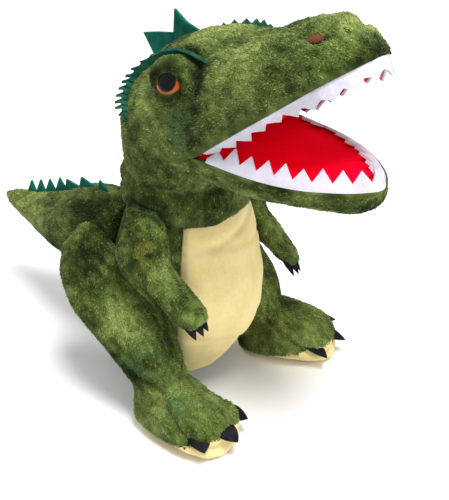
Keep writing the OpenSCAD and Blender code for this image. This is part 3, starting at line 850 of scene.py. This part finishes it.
def felt_plate(name, outline, thick, felt, on_head=False, wave=0.5):
    """A cut felt shape in the middle plane, its outline as (y, z) points, a little wavy."""
    points = [(wave * math.sin(0.21 * y + 0.13 * z), y, z) for y, z in outline]
    piece = mesh_object(name, points, [tuple(range(len(outline)))], on_head, smooth=False)
    apply(piece, "TRIANGULATE")
    apply(piece, "SUBSURF", subdivision_type="SIMPLE", levels=2, render_levels=2)
    stiffened(piece, thick, 0.25, felt)
    return piece


def spikes():
    for name, outline in (("front", [(10, 203), (8, 228), (-1, 223), (-12, 220), (-10, 211)]),
                          ("rear", [(21, 195), (33, 209), (22, 212), (9, 215), (10, 203)])):
        piece = felt_plate(f"spike_{name}_felt", outline, 1.6, GREEN_FELT, on_head=True)
        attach(piece, "head")
        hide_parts(f"spike_{name}")


def crest(name, node, body, path, pitches, way, root):
    """A saw-toothed felt strip in the middle plane, along a path of (y, z) points.

    Each pitch is one tooth: a short one stands upright, a long one leans and is lower.
    """
    path, way = np.array(path, float), np.array(way, float)
    run = np.concatenate([[0], np.cumsum(np.linalg.norm(np.diff(path, axis=0), axis=1))])

    def at(distance):
        return np.array([np.interp(distance, run, path[:, 0]), np.interp(distance, run, path[:, 1])])

    edge, begin = [], 0.0
    scale = run[-1] / sum(pitches)
    for pitch in pitches:
        forward, tall = (0.12, 0.75) if pitch > LONG_PITCH else (0.55, 1)
        edge += [at(begin), at(begin + forward * pitch * scale) + way * tall]
        begin += pitch * scale
    outline = edge + [path[-1]] + [q - root * way / np.linalg.norm(way) for q in path[::-1]]
    piece = felt_plate(name, [tuple(q + 0.15 * way) for q in outline], 1.6, GREEN_FELT)
    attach(piece, body)
    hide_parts(node)


# ---- body, neck, tail ----

def belly_edge(z):
    """Half angle of the belly panel at a height."""
    return np.radians(np.interp(z, [16, 60, 100, 128], [60, 61, 59, 54]))


def panel(name, columns, belly):
    """One panel of the body as an open sheet, and how far each of its points is from the seams."""
    rows = 96
    table = spline(TORSO, even_places(TORSO, rows))
    points = []
    for row in table:
        edge = belly_edge(row[1])
        low, high = (1.5 * math.pi - edge, 1.5 * math.pi + edge) if belly else (
            -0.5 * math.pi + edge, 1.5 * math.pi - edge)
        points.append(section(row[None], np.linspace(low, high, columns))[0])
    piece = mesh_object(name, np.vstack(points), grid_faces(rows, columns, False))
    middle = piece.data.polygons[len(piece.data.polygons) // 2]
    if middle.normal.dot(middle.center) < 0:
        piece.data.flip_normals()
    seam = np.tile(np.linspace(-1, 1, columns), rows)
    return piece, (1 - np.abs(seam)) * (45 if belly else 85)


def body():
    skin, gap = panel("body_skin", 120, belly=False)
    points, normals = read(skin)
    dip = -2.0 * np.exp(-(gap / 2.6) ** 2)
    write(skin, points + normals * dip[:, None])
    ruffled(skin)
    dye_with_painted_shade(skin)
    tufts = pile(skin, "body_pile", comb=(0, 0.25, -0.95))
    belly, gap = panel("belly_skin", 64, belly=True)
    points, normals = read(belly)
    wrinkle = 0.9 * smooth_field(points * (1, 1, 2.2), 22, 4.2)
    wrinkle += 0.5 * smooth_field(points * (1, 1, 0.5), 9, 7.7)
    crease = np.zeros(len(points))
    for height, slope, deep in BELLY_CREASES:
        crease -= deep * np.exp(-((points[:, 2] - height - slope * points[:, 0]) / 2.6) ** 2)
    lift = 0.8 * wrinkle + 0.8 * crease - 2.0 * np.exp(-(gap / 3.0) ** 2)
    write(belly, points + normals * lift[:, None])
    belly.data.materials.append(VELOUR)
    for piece in (skin, belly):
        apply(piece, "SOLIDIFY", thickness=0.0018, offset=-1)
    for piece in (skin, tufts, belly):
        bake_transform(piece)
    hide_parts("torso_plush")
    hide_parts("belly_panel")


def torso_lining():
    """The plain lining that the hand goes into, open at both ends."""
    rows, sides = 60, 96
    places = even_places(TORSO, rows)
    table = spline(TORSO, places[places > places[6]])
    table[:, 3:6] -= 5.5
    ring = section(table, np.linspace(0, 2 * math.pi, sides, endpoint=False))
    piece = mesh_object("hand_lining", ring.reshape(-1, 3), grid_faces(len(table), sides, True))
    ruck = smooth_field(read(piece)[0] * (1, 1, 0.4), 16, 2.9)
    moved_out(piece, lambda p: 0.7 * ruck)
    apply(piece, "SOLIDIFY", thickness=0.0008, offset=0)
    piece.data.materials.append(CLOTH)
    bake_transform(piece)
    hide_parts("torso_lining")


def turned(name, profile, centre, turns=96):
    """A closed ring: profile as (radius, height) points, turned about a level circle's middle."""
    points = []
    for k in range(turns):
        a = 2 * math.pi * k / turns
        for r, z in profile:
            points.append((centre[0] + r * math.cos(a), centre[1] + r * math.sin(a), centre[2] + z))
    count = len(profile)
    faces = [(k * count + j, ((k + 1) % turns) * count + j,
              ((k + 1) % turns) * count + (j + 1) % count, k * count + (j + 1) % count)
             for k in range(turns) for j in range(count)]
    piece = mesh_object(name, points, faces)
    outward(piece)
    return piece


def neck():
    """A rolled fold of plush between the body and the head."""
    arc = [(math.cos(a), math.sin(a)) for a in np.linspace(0, 2 * math.pi, 28, endpoint=False)]
    piece = turned("neck_skin", [(28 + 8.5 * c, 17 * s) for c, s in arc], NECK + (-1, 1, -4))

    def rolls(p):
        outside = np.clip((np.hypot(p[:, 0], p[:, 1]) - 28) / 6, 0, 1)
        phase = (p[:, 2] - 120 - 0.35 * p[:, 1] + 0.15 * p[:, 0]) / 1.9
        phase += 1.5 * smooth_field(p, 24, 1.0)
        return 2.4 * outside * (np.abs(np.sin(phase / 2)) - 0.75)
    moved_out(piece, rolls)
    ruffled(piece)
    dye_with_painted_shade(piece)
    tufts = pile(piece, "neck_pile", comb=(0, 0.1, -1))
    for made in (piece, tufts):
        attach(made, "neck")
    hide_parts("neck_sleeve")


def hem():
    """The velour band round the hand opening, rolled over at its lower edge."""
    profile = [
        (28.7, 11), (28.7, 1.5), (29.4, 0.2), (30.8, 0), (32.2, 1.0), (32.6, 3), (31.6, 7), (30.2, 11),
    ]
    piece = turned("hem_velour", profile, CUFF, turns=128)

    def gathers(p):
        return 0.25 * np.sin(44 * np.arctan2(p[:, 1] - CUFF[1], p[:, 0])) * (p[:, 2] < 20)
    moved_out(piece, gathers)
    piece.data.materials.append(VELOUR)
    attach(piece, "torso")
    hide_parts("hem_band")


def tail():
    skin = lofted("tail_skin", TAIL, 84, 90)
    ruffled(skin)
    dye_with_painted_shade(skin)
    tufts = pile(skin, "tail_pile", comb=(0, 0.95, -0.15))
    for made in (skin, tufts):
        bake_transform(made)
    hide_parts("tail_plush", "tail_stuffing")


# ---- limbs ----

def remeshed(pieces, name, voxel, rounds):
    """Several closed solids as one skin."""
    piece = joined(pieces, name)
    apply(piece, "REMESH", mode="VOXEL", voxel_size=voxel / 1000, use_smooth_shade=True)
    apply(piece, "SMOOTH", factor=0.5, iterations=rounds)
    return piece


def leg(side):
    """One leg with its foot, drawn in towards the body at the top and flat below."""
    k = SIDE[side]
    thigh = lofted("thigh", LEG, 60, 60, shift_x=k * LEG_X)
    foot = lofted("foot", FOOT, 50, 60, 0.9, shift_x=k * LEG_X, turn=math.radians(FOOT_TURN[side]))
    skin = remeshed([thigh, foot], f"leg_{side}_skin", 1.5, 8)
    ankle = np.array([k * LEG_X, ANKLE_Y - 4, 33.0])

    def folds(p):
        bent = p[:, 2] - ankle[2] - 0.55 * (p[:, 1] - ankle[1])
        front = p[:, 1] < 4
        lift = -3.6 * np.exp(-(bent / 2.8) ** 2) * front
        bent = p[:, 2] - 47 - 0.6 * (p[:, 1] + 12)
        return lift - 0.9 * np.exp(-(bent / 2.8) ** 2) * front
    moved_out(skin, folds)
    ruffled(skin)
    points, _ = read(skin)
    points[:, 2] = np.maximum(points[:, 2], 0.3)
    flat = np.clip((points[:, 2] - 66) / 34, 0, 1)
    points[:, 0] = k * (LEG_IN + (k * points[:, 0] - LEG_IN) * (1 - 0.62 * flat ** 1.3))
    points[:, 2] += 7 * flat ** 2
    points[:, 1] += 3 * flat ** 2
    points[:, 0] = np.where(k * points[:, 0] < FOOT_IN, k * FOOT_IN, points[:, 0])
    high = points[:, 2] > 12
    points[high, 0] = k * np.maximum(k * points[high, 0], LEG_IN - 6 * (points[high, 2] < 20))
    write(skin, points)
    sole = split_sole(skin, side)
    dye_with_painted_shade(skin)
    tufts = pile(skin, f"leg_{side}_pile", comb=(0, -0.35, -0.9))
    for piece in (skin, tufts):
        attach(piece, f"leg_{side}")
    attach(sole, f"leg_{side}")
    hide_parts(f"leg_{side}", f"leg_stuffing_{side}")
    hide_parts(f"sole_{side}")
    foot_claws(side)


def sole_height(y):
    """How high the sole's edge comes, more at the toes."""
    return 5.5 + 9.0 * np.clip((-y - 34) / 26, 0, 1)


def split_sole(skin, side):
    """Cuts the sole off the leg as a piece of its own."""
    points, _ = read(skin)
    below = points[:, 2] < sole_height(points[:, 1])
    sole = skin.copy()
    sole.name = f"sole_{side}_skin"
    bpy.context.scene.collection.objects.link(sole)
    for piece, drop in ((sole, ~below), (skin, below)):
        keep = [list(p.vertices) for p in piece.data.polygons
                if np.mean([drop[v] for v in p.vertices]) <= 0.5]
        used = sorted({v for f in keep for v in f})
        new = {v: n for n, v in enumerate(used)}
        data = bpy.data.meshes.new(piece.name)
        places = ((points - CUFF) / 1000)[used]
        data.from_pydata([tuple(q) for q in places], [], [[new[v] for v in f] for f in keep])
        data.update()
        data.polygons.foreach_set("use_smooth", [True] * len(data.polygons))
        piece.data = data
    apply(sole, "SOLIDIFY", thickness=0.0016, offset=-1)
    sole.data.materials.append(VELOUR)
    return sole


def pointed(name, root, tip, wide, thick, body, node, droop=0.12):
    """Felt claws: each a flattened cone that bends down to its tip."""
    parts = []
    for n, (a, b) in enumerate(zip(root, tip)):
        a, b = np.asarray(a, float), np.asarray(b, float)
        way = b - a
        length = np.linalg.norm(way)
        across = np.cross(way / length, (0, 0, 1.0))
        across /= np.linalg.norm(across)
        up = np.cross(across, way / length)
        rows, sides = 9, 14
        points = []
        for r in range(rows):
            t = r / (rows - 1)
            share = (1 - t ** 2.2) * 0.94 + 0.06
            mid = a + way * t - np.array([0, 0, droop * length * t * t])
            for j in range(sides):
                c = 2 * math.pi * j / sides
                out = wide / 2 * math.cos(c) * across + thick / 2 * math.sin(c) * up
                points.append(mid + share * out)
        part = mesh_object(f"{name}_{n}", points, tube_faces(rows, sides))
        outward(part)
        parts.append(part)
    piece = joined(parts, name)
    piece.data.materials.append(BLACK_FELT)
    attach(piece, body)
    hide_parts(node)


def foot_claws(side):
    k = SIDE[side]
    turn = math.radians(FOOT_TURN[side])
    c, s = math.cos(turn), math.sin(turn)
    roots, tips = [], []
    long, wide = CLAW_SIZE[side]
    for n in (-1, 0, 1):
        angle = math.radians(30 * n)
        root = np.array([14 * n, CLAW_FROM[side] + 7 * abs(n), 15.5])
        tip = root + long * np.array([math.sin(angle), -math.cos(angle), -0.25])
        for made, p in ((roots, root), (tips, tip)):
            made.append((p[0] * c - p[1] * s + k * LEG_X, p[0] * s + p[1] * c + ANKLE_Y, p[2]))
    pointed(f"foot_claw_felt_{side}", roots, tips, wide, 4.2, f"leg_{side}", f"foot_claws_{side}")


def arm(side):
    """One arm, drawn in towards the body at the top. The left one is slimmer and hangs lower."""
    k = SIDE[side]
    slim = np.linspace(1, 0.65 if side == "left" else 1, len(ARM))
    drop = np.linspace(0, 1, len(ARM)) ** 2 * (6 if side == "left" else 0)
    stations = [(y, z - fall, pitch, w * t, up * t, down * t)
                for (y, z, pitch, w, up, down), t, fall in zip(ARM, slim, drop)]
    skin = lofted(f"arm_{side}_skin", stations, 56, 56, shift_x=k * ARM_X)

    def elbow(p):
        return -1.4 * np.exp(-((p[:, 2] - 97.0 - 0.8 * (p[:, 1] + 8)) / 2.4) ** 2) * (p[:, 1] < -4)
    moved_out(skin, elbow)
    ruffled(skin, 0.7)
    points, _ = read(skin)
    points[:, 0] = k * np.maximum(k * points[:, 0], ARM_IN)
    flat = np.clip((points[:, 2] - 108) / 22, 0, 1)
    points[:, 0] -= k * flat * (3 + 0.5 * (k * points[:, 0] - ARM_IN))
    write(skin, points)
    dye_with_painted_shade(skin)
    tufts = pile(skin, f"arm_{side}_pile", comb=(0, -0.3, -0.9))
    for piece in (skin, tufts):
        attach(piece, f"arm_{side}")
    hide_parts(f"arm_{side}", f"arm_stuffing_{side}")
    spread = 4.4 * slim[-1]
    roots = [(k * ARM_X + spread * n, -39.0 + abs(n), 79.0 - drop[-1]) for n in (-1, 0, 1)]
    tips = [(k * ARM_X + 1.2 * spread * n, -46.0 + abs(n), 71.5 - drop[-1]) for n in (-1, 0, 1)]
    pointed(f"hand_claw_felt_{side}", roots, tips, 7.6 * slim[-1], 3.8, f"arm_{side}", f"hand_claws_{side}")


# ---- the CAD pieces that stay ----

INSIDE_LOOKS = {
    "finger_pocket": CLOTH, "thumb_pocket": CLOTH, "upper_mouth_board": BOARD,
    "lower_mouth_board": BOARD, "eye_washers": WASHER,
}


def inside_pieces():
    """Gives the CAD solids that stay in sight of the hand their materials."""
    for node, look in INSIDE_LOOKS.items():
        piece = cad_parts[node]
        piece.data.materials.clear()
        piece.data.materials.append(look)


# ---- studio ----

LAMPS = [
    ("key", (-0.20, -0.42, 1.25), 0.45, 19), ("fill", (-0.05, -1.1, 0.42), 0.9, 4.5),
    ("back", (0.1, 0.9, 0.9), 0.7, 6),
]


def studio():
    """A pale floor, three soft lamps and the camera."""
    ground = float(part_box("sole_left")[0].z)
    bpy.ops.mesh.primitive_plane_add(size=6, location=(0, 0, ground))
    floor = bpy.context.object
    floor.name = "floor"
    floor.data.materials.append(textured("floor", (0.93, 0.93, 0.93), (0.90, 0.90, 0.90), 3, bump=0.02))
    world = bpy.data.worlds.new("studio")
    bpy.context.scene.world = world
    world.use_nodes = True
    world.node_tree.nodes["Background"].inputs["Color"].default_value = (1, 1, 1, 1)
    world.node_tree.nodes["Background"].inputs["Strength"].default_value = 0.46
    for name, place, size, power in LAMPS:
        lamp = bpy.data.lights.new(name, "AREA")
        lamp.size = size
        lamp.energy = power
        made = bpy.data.objects.new(name, lamp)
        made.location = place
        made.rotation_euler = (Vector((0, 0, 0.09)) - Vector(place)).to_track_quat("-Z", "Y").to_euler()
        bpy.context.scene.collection.objects.link(made)
    bpy.context.scene.view_settings.view_transform = "Standard"
    lens = bpy.data.cameras.new("camera")
    lens.lens = 76.7
    lens.dof.use_dof = False
    camera = bpy.data.objects.new("camera", lens)
    camera.location = to_frame((-403, -340, 408))
    aim = Vector(to_frame((0, -25, 95)))
    camera.rotation_euler = (aim - camera.location).to_track_quat("-Z", "Y").to_euler()
    bpy.context.scene.collection.objects.link(camera)
    bpy.context.scene.camera = camera


head_skin()
jaw_skin()
mouth_cloth()
teeth()
eyes()
brows()
nostrils()
spikes()
torso_lining()
body()
neck()
hem()
tail()
crest("tail_crest_felt", "tail_crest", "tail", [(138, 76.5), (112, 86.5), (86, 98), (68, 101.5), (57, 96)],
      [9.5, 9.5, 9.5, 9.5, 14, 16, 16], (0, 8.6), 9)
crest("back_crest_felt", "back_crest", "torso", [(47, 88), (44, 98), (35, 122)],
      [7, 7, 7, 7, 7], (6, 1.5), 8)
for name in SIDE:
    leg(name)
    arm(name)
inside_pieces()
studio()
